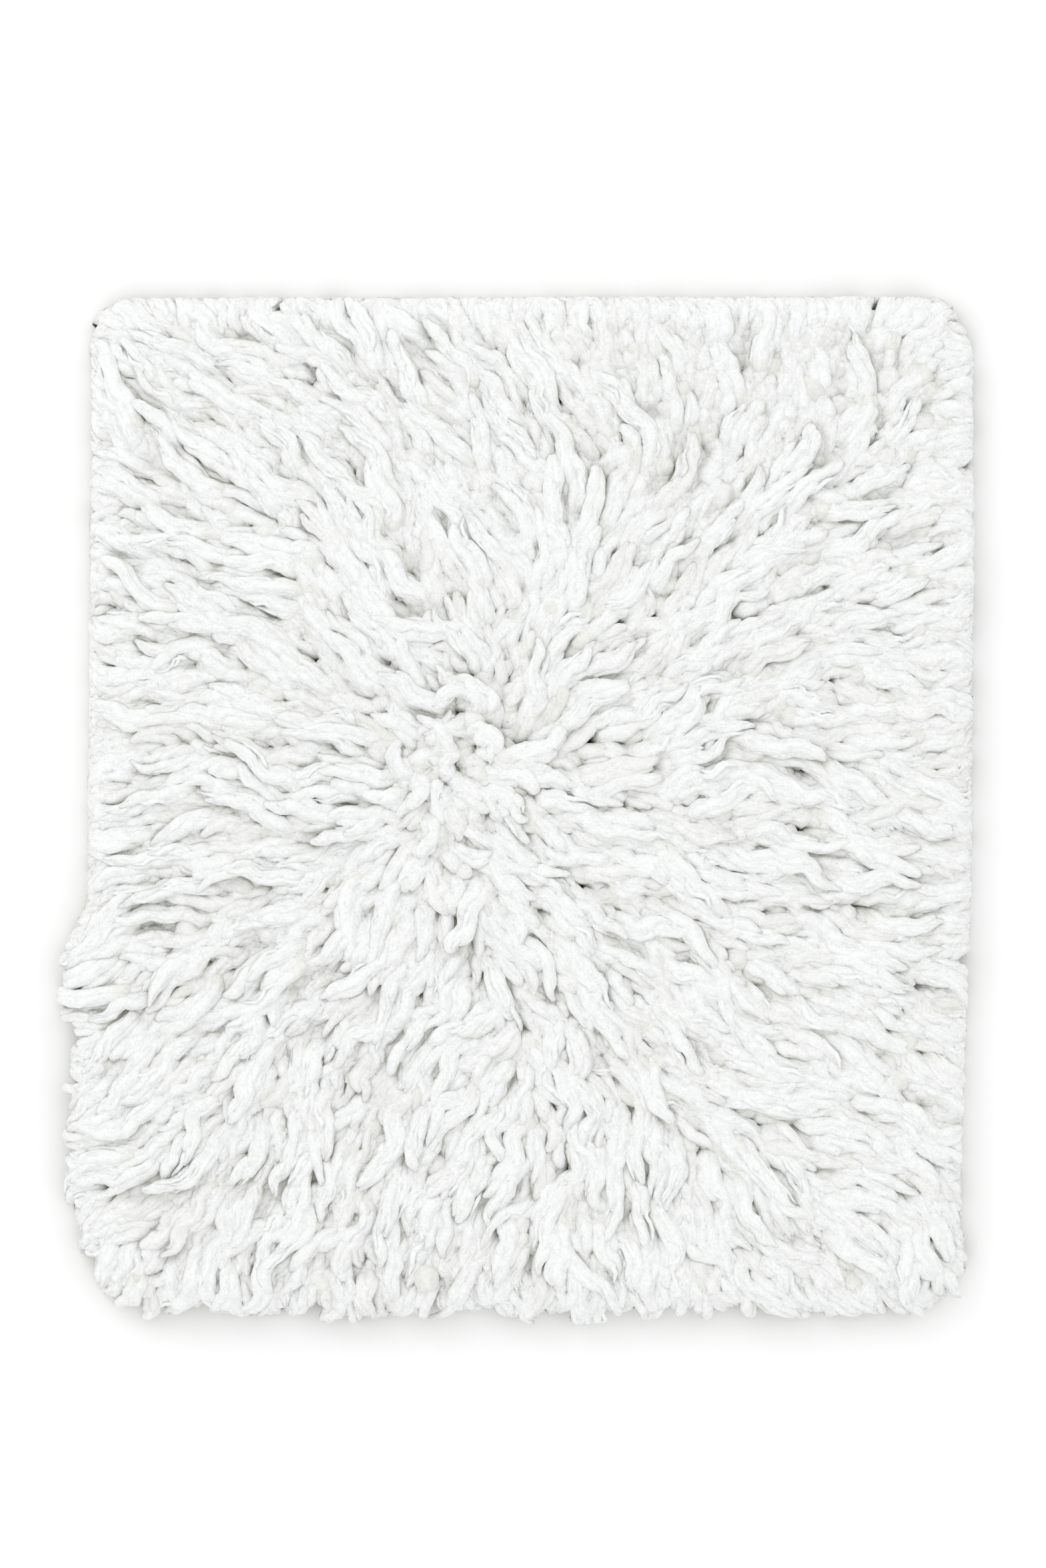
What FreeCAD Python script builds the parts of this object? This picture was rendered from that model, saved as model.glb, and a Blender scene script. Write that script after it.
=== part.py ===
"""Shag pile bath mat lying flat: latex grip, coated base cloth, bound edge and tufted wool rows.

Millimetres.  +Z is up, +X is the right-hand side, +Y the far end.  The origin is the middle of
the footprint, on the floor.  From the floor up the layers are the ribbed anti-slip backing, the
latex precoat that locks the tufts, the base cloth, and the pile rows that stand on the cloth.
"""
import FreeCAD
import Part
import math
import os

import Sketcher

SIZES = {
    "mat_width": 600,
    "mat_length": 675,
    "mat_corner": 28,
    "pile_top": 37,
    "pile_shoulder": 15,
    "row_pitch": 13,
    "row_gap": 0.3,
    "row_taper": 1.2,
    "cloth_width": 556,
    "cloth_length": 631,
    "cloth_corner": 26,
    "cloth_thick": 2.2,
    "precoat_thick": 0.9,
    "grip_sheet": 1.2,
    "grip_rib": 1.3,
    "grip_inset": 15,
    "grip_pitch": 30,
    "grip_rib_width": 5,
    "hem_width": 13,
    "hem_press": 1.2,
    "tape_cover": 12,
    "tape_thick": 0.6,
    "fit_gap": 0.05,
    "seam_inset": 8,
    "thread_width": 0.8,
    "thread_rise": 0.4,
    "label_width": 32,
    "label_inset": 5,
    "label_reach": 13,
    "label_ply": 0.2,
    "label_fold": 0.1,
    "label_y": 210,
}
ROW_COUNT = 48
GRIP_RIBS_ACROSS = 19
GRIP_RIBS_ALONG = 21

# Heights above the floor where one layer ends and the next begins.
GRIP_TOP = "(Dims.grip_rib + Dims.grip_sheet)"
CLOTH_FOOT = "(Dims.grip_rib + Dims.grip_sheet + Dims.precoat_thick)"
CLOTH_TOP = "(Dims.grip_rib + Dims.grip_sheet + Dims.precoat_thick + Dims.cloth_thick)"
HEM_TOP = "(Dims.grip_rib + Dims.grip_sheet + Dims.precoat_thick + Dims.cloth_thick - Dims.hem_press)"
TAPE_FOOT = "(Dims.grip_rib + Dims.grip_sheet - Dims.fit_gap - Dims.tape_thick)"
TAPE_TOP = "(Dims.grip_rib + Dims.grip_sheet + Dims.precoat_thick + Dims.cloth_thick" \
           " - Dims.hem_press + Dims.fit_gap + Dims.tape_thick)"


def make_sheet(doc):
    """Write every driving dimension into the sheet, one alias to a row."""
    sheet = doc.addObject("Spreadsheet::Sheet", "Dims")
    for row, (name, value) in enumerate(SIZES.items(), start=1):
        sheet.set(f"A{row}", name)
        sheet.set(f"B{row}", str(value))
        sheet.setAlias(f"B{row}", name)
    doc.recompute()
    return sheet


def xy_plane(body):
    """The body's own horizontal origin plane."""
    return next(f for f in body.Origin.OriginFeatures if f.Role == "XY_Plane")


def cloth_outline(grow):
    """Width, length and corner radius of the cloth's outline grown by an expression."""
    return (f"Dims.cloth_width + 2 * ({grow})", f"Dims.cloth_length + 2 * ({grow})",
            f"Dims.cloth_corner + ({grow})")


def rounded_sketch(doc, body, name, level, outline):
    """A rounded rectangle centred on the origin, drawn at a height and bound to the sheet."""
    sketch = body.newObject("Sketcher::SketchObject", name)
    sketch.AttachmentSupport = [(xy_plane(body), "")]
    sketch.MapMode = "FlatFace"
    sketch.setExpression("AttachmentOffset.Base.z", level)
    half_x, half_y, radius = 200.0, 250.0, 30.0
    in_x, in_y = half_x - radius, half_y - radius
    corners = [(-in_x, -half_y), (in_x, -half_y), (half_x, -in_y), (half_x, in_y),
               (in_x, half_y), (-in_x, half_y), (-half_x, in_y), (-half_x, -in_y)]
    points = [FreeCAD.Vector(x, y, 0) for x, y in corners]
    for side in range(4):
        sketch.addGeometry(Part.LineSegment(points[2 * side], points[2 * side + 1]), False)
    centres = [(in_x, -in_y), (in_x, in_y), (-in_x, in_y), (-in_x, -in_y)]
    for turn, (x, y) in enumerate(centres):
        circle = Part.Circle(FreeCAD.Vector(x, y, 0), FreeCAD.Vector(0, 0, 1), radius)
        start = math.radians(270 + 90 * turn)
        sketch.addGeometry(Part.ArcOfCircle(circle, start, start + math.pi / 2), False)
    for side in range(4):
        arc = 4 + side
        sketch.addConstraint(Sketcher.Constraint("Tangent", side, 2, arc, 1))
        sketch.addConstraint(Sketcher.Constraint("Tangent", arc, 2, (side + 1) % 4, 1))
    for side, way in enumerate(["Horizontal", "Vertical", "Horizontal", "Vertical"]):
        sketch.addConstraint(Sketcher.Constraint(way, side))
    for arc in (5, 6, 7):
        sketch.addConstraint(Sketcher.Constraint("Equal", 4, arc))
    sketch.addConstraint(Sketcher.Constraint("Symmetric", 0, 1, 2, 1, -1, 1))
    sizes = [("DistanceX", (3, 1, 1, 1), 2 * half_x), ("DistanceY", (0, 1, 2, 1), 2 * half_y),
             ("Radius", (4,), radius)]
    for (kind, refs, value), expression in zip(sizes, outline):
        index = sketch.addConstraint(Sketcher.Constraint(kind, *refs, value))
        sketch.setExpression(f"Constraints[{index}]", expression)
    return sketch


def add_plate(doc, body, level, thickness, outline):
    """Pad a rounded plate upwards from a height."""
    sketch = rounded_sketch(doc, body, f"{body.Name}Outline", level, outline)
    pad = body.newObject("PartDesign::Pad", f"{body.Name}Pad")
    pad.Profile = sketch
    pad.setExpression("Length", thickness)
    sketch.Visibility = False
    doc.recompute()
    return pad


def cut_plate(doc, body, tag, level, depth, outline):
    """Remove a rounded plate that rises by a depth from a height."""
    before = body.Shape.Volume
    sketch = rounded_sketch(doc, body, f"{body.Name}{tag}", level, outline)
    pocket = body.newObject("PartDesign::Pocket", f"{body.Name}{tag}Pocket")
    pocket.Profile = sketch
    pocket.Reversed = True
    pocket.setExpression("Length", depth)
    doc.recompute()
    if not body.Shape.Volume < before - 1:
        raise RuntimeError(f"{pocket.Name} removed nothing")
    return pocket


def new_body(doc, name, label):
    body = doc.addObject("PartDesign::Body", name)
    body.Label = label
    return body


def make_precoat(doc):
    body = new_body(doc, "Precoat", "latex_precoat")
    add_plate(doc, body, GRIP_TOP, "Dims.precoat_thick", cloth_outline("0"))
    return body


def make_cloth(doc):
    """Base cloth, pressed thinner all round its top edge where the tape is sewn down."""
    body = new_body(doc, "Cloth", "base_cloth")
    add_plate(doc, body, CLOTH_FOOT, "Dims.cloth_thick - Dims.hem_press", cloth_outline("0"))
    sketch = rounded_sketch(doc, body, "ClothField", HEM_TOP, cloth_outline("-Dims.hem_width"))
    pad = body.newObject("PartDesign::Pad", "ClothFieldPad")
    pad.Profile = sketch
    pad.setExpression("Length", "Dims.hem_press")
    doc.recompute()
    return body


def make_tape(doc):
    """Binding tape folded round the cloth's edge: a plate with a slot and an open middle."""
    body = new_body(doc, "Tape", "binding_tape")
    skin = "Dims.fit_gap + Dims.tape_thick"
    add_plate(doc, body, TAPE_FOOT, f"{TAPE_TOP} - {TAPE_FOOT}", cloth_outline(skin))
    cut_plate(doc, body, "Middle", TAPE_FOOT, f"{TAPE_TOP} - {TAPE_FOOT}",
              cloth_outline("-Dims.tape_cover"))
    cut_plate(doc, body, "Slot", f"{TAPE_FOOT} + Dims.tape_thick",
              f"{TAPE_TOP} - {TAPE_FOOT} - 2 * Dims.tape_thick", cloth_outline("Dims.fit_gap"))
    return body


def make_thread(doc, name, label, level):
    """One thread of the binding seam, a thin closed line sunk along the tape."""
    body = new_body(doc, name, label)
    add_plate(doc, body, level, "Dims.thread_rise", cloth_outline("-Dims.seam_inset"))
    cut_plate(doc, body, "Inside", level, "Dims.thread_rise",
              cloth_outline("-Dims.seam_inset - Dims.thread_width"))
    return body


def add_box(doc, name, size, base):
    """A Part box whose three sizes and corner are all bound to the sheet."""
    box = doc.addObject("Part::Box", name)
    for prop, expression in zip(("Length", "Width", "Height"), size):
        box.setExpression(prop, expression)
    for axis, expression in zip("xyz", base):
        box.setExpression(f"Placement.Base.{axis}", expression)
    return box


def make_grip(doc):
    """Anti-slip backing: a latex sheet on a grid of ribs, with a rim, all inside the tape."""
    plate = new_body(doc, "GripPlate", "grip_plate")
    add_plate(doc, plate, "0", GRIP_TOP, cloth_outline("-Dims.grip_inset"))
    rim = new_body(doc, "GripRim", "grip_rim")
    add_plate(doc, rim, "0", GRIP_TOP, cloth_outline("-Dims.grip_inset"))
    cut_plate(doc, rim, "Inside", "0", GRIP_TOP,
              cloth_outline("-Dims.grip_inset - Dims.grip_rib_width"))
    pieces = [rim, add_box(doc, "GripSheet",
                           ("Dims.cloth_width", "Dims.cloth_length", "Dims.grip_sheet"),
                           ("-Dims.cloth_width / 2", "-Dims.cloth_length / 2", "Dims.grip_rib"))]
    for index in range(GRIP_RIBS_ACROSS):
        middle = f"{index - (GRIP_RIBS_ACROSS - 1) // 2} * Dims.grip_pitch"
        pieces.append(add_box(doc, f"RibAlong{index:02d}",
                              ("Dims.grip_rib_width", "Dims.cloth_length", GRIP_TOP),
                              (f"{middle} - Dims.grip_rib_width / 2",
                               "-Dims.cloth_length / 2", "0")))
    for index in range(GRIP_RIBS_ALONG):
        middle = f"{index - (GRIP_RIBS_ALONG - 1) // 2} * Dims.grip_pitch"
        pieces.append(add_box(doc, f"RibAcross{index:02d}",
                              ("Dims.cloth_width", "Dims.grip_rib_width", GRIP_TOP),
                              ("-Dims.cloth_width / 2",
                               f"{middle} - Dims.grip_rib_width / 2", "0")))
    grid = doc.addObject("Part::MultiFuse", "GripGrid")
    grid.Shapes = pieces
    grid.Refine = True
    grip = doc.addObject("Part::Common", "Grip")
    grip.Base = plate
    grip.Tool = grid
    grip.Refine = True
    grip.Label = "anti_slip_backing"
    doc.recompute()
    return grip


def make_label(doc):
    """Blank care label: one ribbon folded in two, its cut ends under the tape."""
    run = "Dims.label_inset + Dims.label_reach"
    stack = "2 * Dims.label_ply + Dims.label_fold"
    start = "Dims.cloth_width / 2 - Dims.label_inset"
    side = "Dims.label_y - Dims.label_width / 2"
    foot = f"{TAPE_FOOT} - Dims.fit_gap - ({stack})"
    outer = add_box(doc, "LabelOuter", (run, "Dims.label_width", stack), (start, side, foot))
    inner = add_box(doc, "LabelInner",
                    (f"{run} - Dims.label_ply", "Dims.label_width + 2", "Dims.label_fold"),
                    (start, f"{side} - 1", f"{foot} + Dims.label_ply"))
    label = doc.addObject("Part::Cut", "Label")
    label.Base = outer
    label.Tool = inner
    label.Label = "care_label"
    stitch = add_box(doc, "LabelThread",
                     ("Dims.thread_width", "Dims.label_width - 4", "Dims.thread_rise"),
                     ("Dims.cloth_width / 2 - Dims.label_inset / 2", f"{side} + 2",
                      f"{foot} - Dims.fit_gap - Dims.thread_rise"))
    stitch.Label = "label_thread"
    doc.recompute()
    return [label, stitch]


def make_pile_form(doc):
    """The whole pile as one block with a rounded shoulder, the shape that the rows share."""
    form = new_body(doc, "PileForm", "pile_form")
    pad = add_plate(doc, form, CLOTH_TOP, f"Dims.pile_top - {CLOTH_TOP}",
                    ("Dims.mat_width", "Dims.mat_length", "Dims.mat_corner"))
    faces = pad.Shape.Faces
    top = max(range(len(faces)), key=lambda i: faces[i].CenterOfMass.z)
    round_over = form.newObject("PartDesign::Fillet", "PileShoulder")
    round_over.Base = (pad, [f"Face{top + 1}"])
    round_over.setExpression("Radius", "Dims.pile_shoulder")
    doc.recompute()
    return form


def make_row(doc, form, index):
    """One tufted row: the pile form cut to one pitch, narrower at the top than at its foot."""
    first, last = index == 0, index == ROW_COUNT - 1
    near = f"{index - ROW_COUNT // 2} * Dims.row_pitch + Dims.row_gap / 2"
    far = f"{index + 1 - ROW_COUNT // 2} * Dims.row_pitch - Dims.row_gap / 2"
    if first:
        near = "-Dims.mat_length / 2 - 2 * Dims.row_taper"
    if last:
        far = "Dims.mat_length / 2 + 2 * Dims.row_taper"
    slab = doc.addObject("Part::Wedge", f"Slab{index + 1:02d}")
    slab.Placement = FreeCAD.Placement(FreeCAD.Vector(0, 0, 0),
                                       FreeCAD.Rotation(FreeCAD.Vector(1, 0, 0), 90))
    slab.setExpression("Placement.Base.y", far)
    sizes = {
        "Xmin": "-Dims.mat_width / 2 - 1", "Xmax": "Dims.mat_width / 2 + 1",
        "X2min": "-Dims.mat_width / 2 - 1", "X2max": "Dims.mat_width / 2 + 1",
        "Ymin": "0", "Ymax": "Dims.pile_top + 1",
        "Zmin": "0", "Zmax": f"({far}) - ({near})",
        "Z2min": "Dims.row_taper", "Z2max": f"({far}) - ({near}) - Dims.row_taper",
    }
    for prop, expression in sizes.items():
        slab.setExpression(prop, expression)
    row = doc.addObject("Part::Common", f"Row{index + 1:02d}")
    row.Base = form
    row.Tool = slab
    row.Label = f"pile_row_{index + 1:02d}"
    return row


def check(doc, pieces):
    """Stop on any failed feature, or on a piece that isn't a valid closed shape."""
    for item in doc.Objects:
        if "Invalid" in item.State or "Error" in item.State:
            raise RuntimeError(f"{item.Name} failed: {item.State}")
    for piece in pieces:
        shape = piece.Shape
        if shape.isNull() or not shape.isValid() or not shape.Solids:
            raise RuntimeError(f"{piece.Label} has no valid solid")


def main():
    doc = FreeCAD.newDocument("BathMat")
    make_sheet(doc)
    pieces = [make_grip(doc), make_precoat(doc), make_cloth(doc), make_tape(doc)]
    pieces.append(make_thread(doc, "NeedleThread", "needle_thread", TAPE_TOP))
    pieces.append(make_thread(doc, "BobbinThread", "bobbin_thread",
                              f"{TAPE_FOOT} - Dims.thread_rise"))
    pieces.extend(make_label(doc))
    form = make_pile_form(doc)
    pieces.extend(make_row(doc, form, index) for index in range(ROW_COUNT))
    doc.recompute()
    check(doc, pieces)
    os.makedirs("parts", exist_ok=True)
    for piece in pieces:
        piece.Shape.exportStep(f"parts/{piece.Label}.step")
        box = piece.Shape.BoundBox
        print(f"{piece.Label}: {piece.Shape.Volume / 1000:.2f} cm3,"
              f" x {box.XMin:.2f}..{box.XMax:.2f} y {box.YMin:.2f}..{box.YMax:.2f}"
              f" z {box.ZMin:.2f}..{box.ZMax:.2f}")


main()
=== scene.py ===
"""Looks of the shag bath mat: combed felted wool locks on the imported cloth, tape and latex."""
import math

import bpy
import numpy as np
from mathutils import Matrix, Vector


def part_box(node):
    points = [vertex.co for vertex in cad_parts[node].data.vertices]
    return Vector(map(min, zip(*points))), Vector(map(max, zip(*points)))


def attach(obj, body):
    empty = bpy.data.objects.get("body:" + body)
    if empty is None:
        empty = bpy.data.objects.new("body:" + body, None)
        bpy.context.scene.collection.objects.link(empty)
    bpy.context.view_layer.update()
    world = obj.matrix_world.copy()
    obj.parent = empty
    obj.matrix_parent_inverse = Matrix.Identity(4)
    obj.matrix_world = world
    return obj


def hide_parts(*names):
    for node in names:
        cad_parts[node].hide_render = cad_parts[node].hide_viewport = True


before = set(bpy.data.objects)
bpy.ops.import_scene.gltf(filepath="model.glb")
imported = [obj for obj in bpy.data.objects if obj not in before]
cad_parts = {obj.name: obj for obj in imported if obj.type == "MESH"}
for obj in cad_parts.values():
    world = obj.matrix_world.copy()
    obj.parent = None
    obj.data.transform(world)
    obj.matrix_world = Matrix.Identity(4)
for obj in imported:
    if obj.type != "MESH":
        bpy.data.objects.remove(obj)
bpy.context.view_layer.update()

RNG = np.random.default_rng(584)
MM = 0.001

# ---------------------------------------------------------------- pile layout
ROW_COUNT = 48
ROW_PITCH = 13 * MM
SUB_ROW = 3.25 * MM
CLOTH_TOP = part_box("base_cloth")[1][2]
CLOTH_HALF = (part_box("base_cloth")[1][0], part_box("base_cloth")[1][1])
CLOTH_CORNER = 26 * MM
ROOT_MARGIN = 2 * MM
JITTER_X, JITTER_Y = 1.2 * MM, 1.0 * MM
PILE_HALF = (0.295, 0.335)
TURN_OUT = 9                # how sharply locks near the edge turn outward
SOFT_SPAN = 5 * MM          # over which the pile's level and its edge are rounded off
FINE = 25                   # points along each lock's centre line
ROPE_RINGS = np.array([0, 0.18, 0.30, 0.39, 0.46, 0.53, 0.59, 0.65, 0.70, 0.75, 0.80, 0.84,
                       0.88, 0.915, 0.945, 0.967, 0.985, 1.0])
SLIVER_RINGS = np.array([0, 0.18, 0.36, 0.54, 0.72, 0.90, 1.0])
THINNEST, TIP_PINCH = 0.35 * MM, 0.35
SLIVER_SIDES, SLIVER_TIP, SLIVER_SINK = 5, 0.12 * MM, 0.8 * MM
UNDER_RINGS = np.array([0, 0.30, 0.46, 0.58, 0.69, 0.79, 0.87, 0.94, 0.975, 1.0])

# The edge of the combed pile seen from above, anticlockwise from the left-hand step.
OUTLINE = np.array([
    (-0.289, -0.064), (-0.299, -0.086), (-0.299, -0.262), (-0.288, -0.296), (-0.277, -0.317),
    (-0.258, -0.329), (-0.240, -0.336), (0.258, -0.335), (0.280, -0.327), (0.289, -0.310),
    (0.291, -0.230), (0.297, -0.060), (0.299, 0.150), (0.299, 0.296), (0.294, 0.318),
    (0.281, 0.332), (0.258, 0.337), (-0.262, 0.336), (-0.278, 0.328), (-0.286, 0.310),
])

# Where the pile has been combed: x, y in metres and the way it lies in degrees from +X.
COMB = np.array([
    (-0.27, 0.31, 145), (-0.18, 0.31, 140), (-0.08, 0.31, 125), (0.01, 0.31, 130),
    (0.09, 0.31, 95), (0.19, 0.31, 90), (0.285, 0.32, 42), (-0.26, 0.24, 155),
    (-0.16, 0.24, 145), (-0.07, 0.24, 130), (0.02, 0.25, 125), (0.09, 0.25, 97),
    (0.17, 0.25, 85), (0.235, 0.25, 50), (0.28, 0.23, 12), (-0.27, 0.16, 170),
    (-0.19, 0.16, 147), (-0.11, 0.17, 127), (-0.03, 0.16, 115), (0.03, 0.17, 85),
    (0.08, 0.17, 45), (0.15, 0.17, 35), (0.21, 0.17, 15), (0.27, 0.15, 0),
    (-0.23, 0.08, 185), (-0.14, 0.09, 145), (-0.06, 0.10, 135), (0.00, 0.10, 75),
    (0.06, 0.09, 45), (0.13, 0.08, 30), (0.20, 0.07, 5), (0.27, 0.06, -12),
    (-0.26, 0.02, 190), (-0.16, 0.02, 173), (-0.10, 0.035, 168), (-0.055, 0.065, 135),
    (-0.01, 0.045, 10), (0.06, 0.02, 0), (0.14, 0.02, -8), (0.24, 0.00, -15),
    (-0.24, -0.05, 180), (-0.15, -0.04, 172), (-0.08, -0.03, 215), (-0.03, -0.02, -40),
    (0.04, -0.04, -15), (0.12, -0.05, -15), (0.22, -0.06, -8), (-0.27, -0.11, 200),
    (-0.19, -0.12, 215), (-0.11, -0.11, 235), (-0.04, -0.09, 265), (0.01, -0.10, -55),
    (0.08, -0.10, -40), (0.16, -0.11, -25), (0.26, -0.12, -18), (-0.26, -0.19, 210),
    (-0.18, -0.19, 250), (-0.10, -0.18, 232), (-0.04, -0.18, 235), (0.02, -0.17, -85),
    (0.08, -0.17, -40), (0.15, -0.18, -22), (0.23, -0.19, -30), (-0.25, -0.27, 220),
    (-0.17, -0.26, 252), (-0.10, -0.26, 250), (-0.03, -0.25, 243), (0.03, -0.26, 250),
    (0.09, -0.25, -70), (0.15, -0.26, -50), (0.23, -0.26, -20), (-0.26, -0.32, 230),
    (-0.16, -0.32, 255), (-0.05, -0.32, 265), (0.06, -0.32, -95), (0.15, -0.32, -65),
    (0.25, -0.31, -50),
])


def smooth(low, high, x):
    """0 below low, 1 above high, and an S curve between."""
    t = np.clip((x - low) / (high - low), 0, 1)
    return t * t * (3 - 2 * t)


class Waves:
    """A smooth seeded field over the plane: a few sine waves of about one length."""

    def __init__(self, length, count=7):
        turn = RNG.uniform(0, 2 * math.pi, count)
        size = 2 * math.pi / (length * RNG.uniform(0.7, 1.5, count))
        self.kx, self.ky = size * np.cos(turn), size * np.sin(turn)
        self.phase = RNG.uniform(0, 2 * math.pi, count)
        self.scale = math.sqrt(2 / count)

    def __call__(self, x, y):
        total = sum(np.sin(a * x + b * y + p)
                    for a, b, p in zip(self.kx, self.ky, self.phase))
        return total * self.scale


SWIRL = Waves(0.11)
CLUMP = Waves(0.034)
RAGGED = Waves(0.022)


def comb_field(x, y):
    """The angle the pile lies at, and how strongly the nearby strokes agree, from 0 to 1."""
    dx = x[..., None] - COMB[:, 0]
    dy = y[..., None] - COMB[:, 1]
    weight = 1 / (dx * dx + dy * dy + 0.0006) ** 1.6
    weight /= weight.sum(-1, keepdims=True)
    angle = np.radians(COMB[:, 2])
    vx = (weight * np.cos(angle)).sum(-1)
    vy = (weight * np.sin(angle)).sum(-1)
    size = np.hypot(vx, vy)
    return np.arctan2(vy, vx), size


def edge_distance(x, y):
    """How far inside the outline each point is, and the inward direction there."""
    start = OUTLINE
    along = np.roll(OUTLINE, -1, 0) - start
    length = np.hypot(along[:, 0], along[:, 1])
    along = along / length[:, None]
    px = x[..., None] - start[:, 0]
    py = y[..., None] - start[:, 1]
    t = np.clip(px * along[:, 0] + py * along[:, 1], 0, length)
    qx, qy = px - t * along[:, 0], py - t * along[:, 1]
    far = np.hypot(qx, qy)
    near = far.argmin(-1)
    inward = np.stack([-along[:, 1], along[:, 0]], -1)[near]
    side = np.take_along_axis(qx, near[..., None], -1)[..., 0] * inward[..., 0]
    side += np.take_along_axis(qy, near[..., None], -1)[..., 0] * inward[..., 1]
    return np.where(side >= 0, 1, -1) * far.min(-1), inward


def row_roots(row, shift, pitch):
    """Where one line of a row's locks leaves the cloth, jittered, inside its rounded outline."""
    count = int(2 * CLOTH_HALF[0] / pitch)
    x = (np.arange(count) - (count - 1) / 2) * pitch
    x = x + (row % 2 - 0.5) * pitch / 2 + np.sign(shift) * pitch / 4
    x = x + RNG.normal(0, JITTER_X, count)
    y = (row - (ROW_COUNT - 1) / 2) * ROW_PITCH + shift + RNG.normal(0, JITTER_Y, count)
    y = np.clip(y, ROOT_MARGIN - CLOTH_HALF[1], CLOTH_HALF[1] - ROOT_MARGIN)
    corner_x = np.maximum(np.abs(x) - (CLOTH_HALF[0] - CLOTH_CORNER), 0)
    corner_y = np.maximum(np.abs(y) - (CLOTH_HALF[1] - CLOTH_CORNER), 0)
    keep = np.abs(x) < CLOTH_HALF[0] - ROOT_MARGIN
    keep &= np.hypot(corner_x, corner_y) < CLOTH_CORNER - ROOT_MARGIN
    return x[keep], y[keep]


def standing(x, y):
    """How far the wool stands up and curls, not lying combed, which it does at the parting."""
    agreement = comb_field(x, y)[1]
    return 0.8 * (1 - smooth(0.35, 0.85, agreement)) * (1 - packed(x, y))


def packed(x, y):
    """How far the wool is short, dense and level, which it is at the top right."""
    return smooth(0.02, 0.10, x) * smooth(0.16, 0.24, y)


def waving(x, y):
    """How far the locks wave and lie unevenly, which they do at the lower left."""
    return smooth(-0.02, -0.14, y) * smooth(0.12, 0.02, x) * smooth(-0.27, -0.20, x)


def crimping(x, y):
    """How far the locks are crimped, which they are right of the parting."""
    return smooth(0.16, 0.05, np.hypot((x - 0.05) / 1.7, y + 0.01))


def lock_paths(x, y, kind):
    """Centre lines of locks as (count, FINE, 3), from the cloth up and over along the comb."""
    count, stand, dense = len(x), standing(x, y), packed(x, y) * kind["packs"]
    length = kind["length"] * RNG.normal(1, 0.13, count) * (1 - 0.12 * stand - 0.25 * dense)
    turn = RNG.normal(0, 0.16, count) + RNG.normal(0, kind["cross"], count) * stand
    bend = RNG.normal(0, 0.25, count) + RNG.normal(0, 1.0, count) * stand
    wavy = waving(x, y)
    wiggle = RNG.uniform(0.05, 0.20, count) + 0.25 * stand
    wiggle = wiggle + RNG.uniform(0.05, 0.25, count) * wavy
    beat = RNG.uniform(0.7, 1.3, count)
    phase, crimp_phase = RNG.uniform(0, 2 * math.pi, (2, count))
    crimp = RNG.uniform(0.05, 0.26, count) * (1 - 0.6 * dense)
    crimp = crimp + RNG.uniform(0.0, 0.26, count) * np.maximum(crimping(x, y), wavy)
    crimp_beat = kind["length"] / (RNG.uniform(18, 29, count) * MM)
    root_tilt = np.radians(np.minimum(RNG.normal(74, 5, count) + 12 * stand, 84))
    tip_tilt = np.radians(RNG.normal(-1, 4, count) + 9 * stand)
    knee = kind["knee"] + 0.22 * stand + RNG.normal(0, 0.03, count)
    path = np.zeros((count, FINE, 3))
    px, py = x.copy(), y.copy()
    pz = np.full(count, CLOTH_TOP)
    stride = length / (FINE - 1)
    for step in range(FINE):
        path[:, step] = np.stack([px, py, pz], -1)
        s = step / (FINE - 1)
        angle, _ = comb_field(px, py)
        pull = kind["outward"] * smooth(42 * MM, 4 * MM, edge_distance(px, py)[0])
        out_x, out_y = (px / PILE_HALF[0]) ** TURN_OUT, (py / PILE_HALF[1]) ** TURN_OUT
        size = np.hypot(out_x, out_y) + 1e-9
        angle = np.arctan2(np.sin(angle) + pull * out_y / size,
                           np.cos(angle) + pull * out_x / size)
        angle = angle + 0.15 * SWIRL(px, py) + 0.20 * CLUMP(px, py) + turn + bend * (s - 0.3)
        angle = angle + wiggle * np.sin(2 * math.pi * beat * s + phase)
        angle = angle + crimp * np.sin(2 * math.pi * crimp_beat * s + crimp_phase)
        tilt = root_tilt + (tip_tilt - root_tilt) * smooth(knee - 0.22, knee + 0.22, s)
        tilt = tilt - 0.42 * smooth(0.80, 1.0, s)
        px = px + stride * np.cos(tilt) * np.cos(angle)
        py = py + stride * np.cos(tilt) * np.sin(angle)
        pz = pz + stride * np.sin(tilt)
    along = np.linspace(0, 1, FINE)
    fuller = np.maximum(stand, 0.55 * dense) + 0.45 * np.clip(x / 0.24, -1.4, 1)
    rise = kind["rise"] * (along - 0.75)
    rise = rise * (1 - np.maximum(0.8 * dense, 0.7 * stand)[:, None])
    z, level = path[..., 2], kind["level"] + kind["fuller"] * fuller[:, None] + rise
    over = (z - level) / SOFT_SPAN
    path[..., 2] = np.where(over > 0, level + SOFT_SPAN * np.tanh(over), z)
    uneven = (0.9 + 1.2 * wavy - 0.4 * dense + 0.6 * smooth(-0.02, -0.20, x)) * MM
    path[..., 2] += (RNG.normal(0, 1, count) * uneven)[:, None] * along
    return path, stand[:, None]


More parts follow.
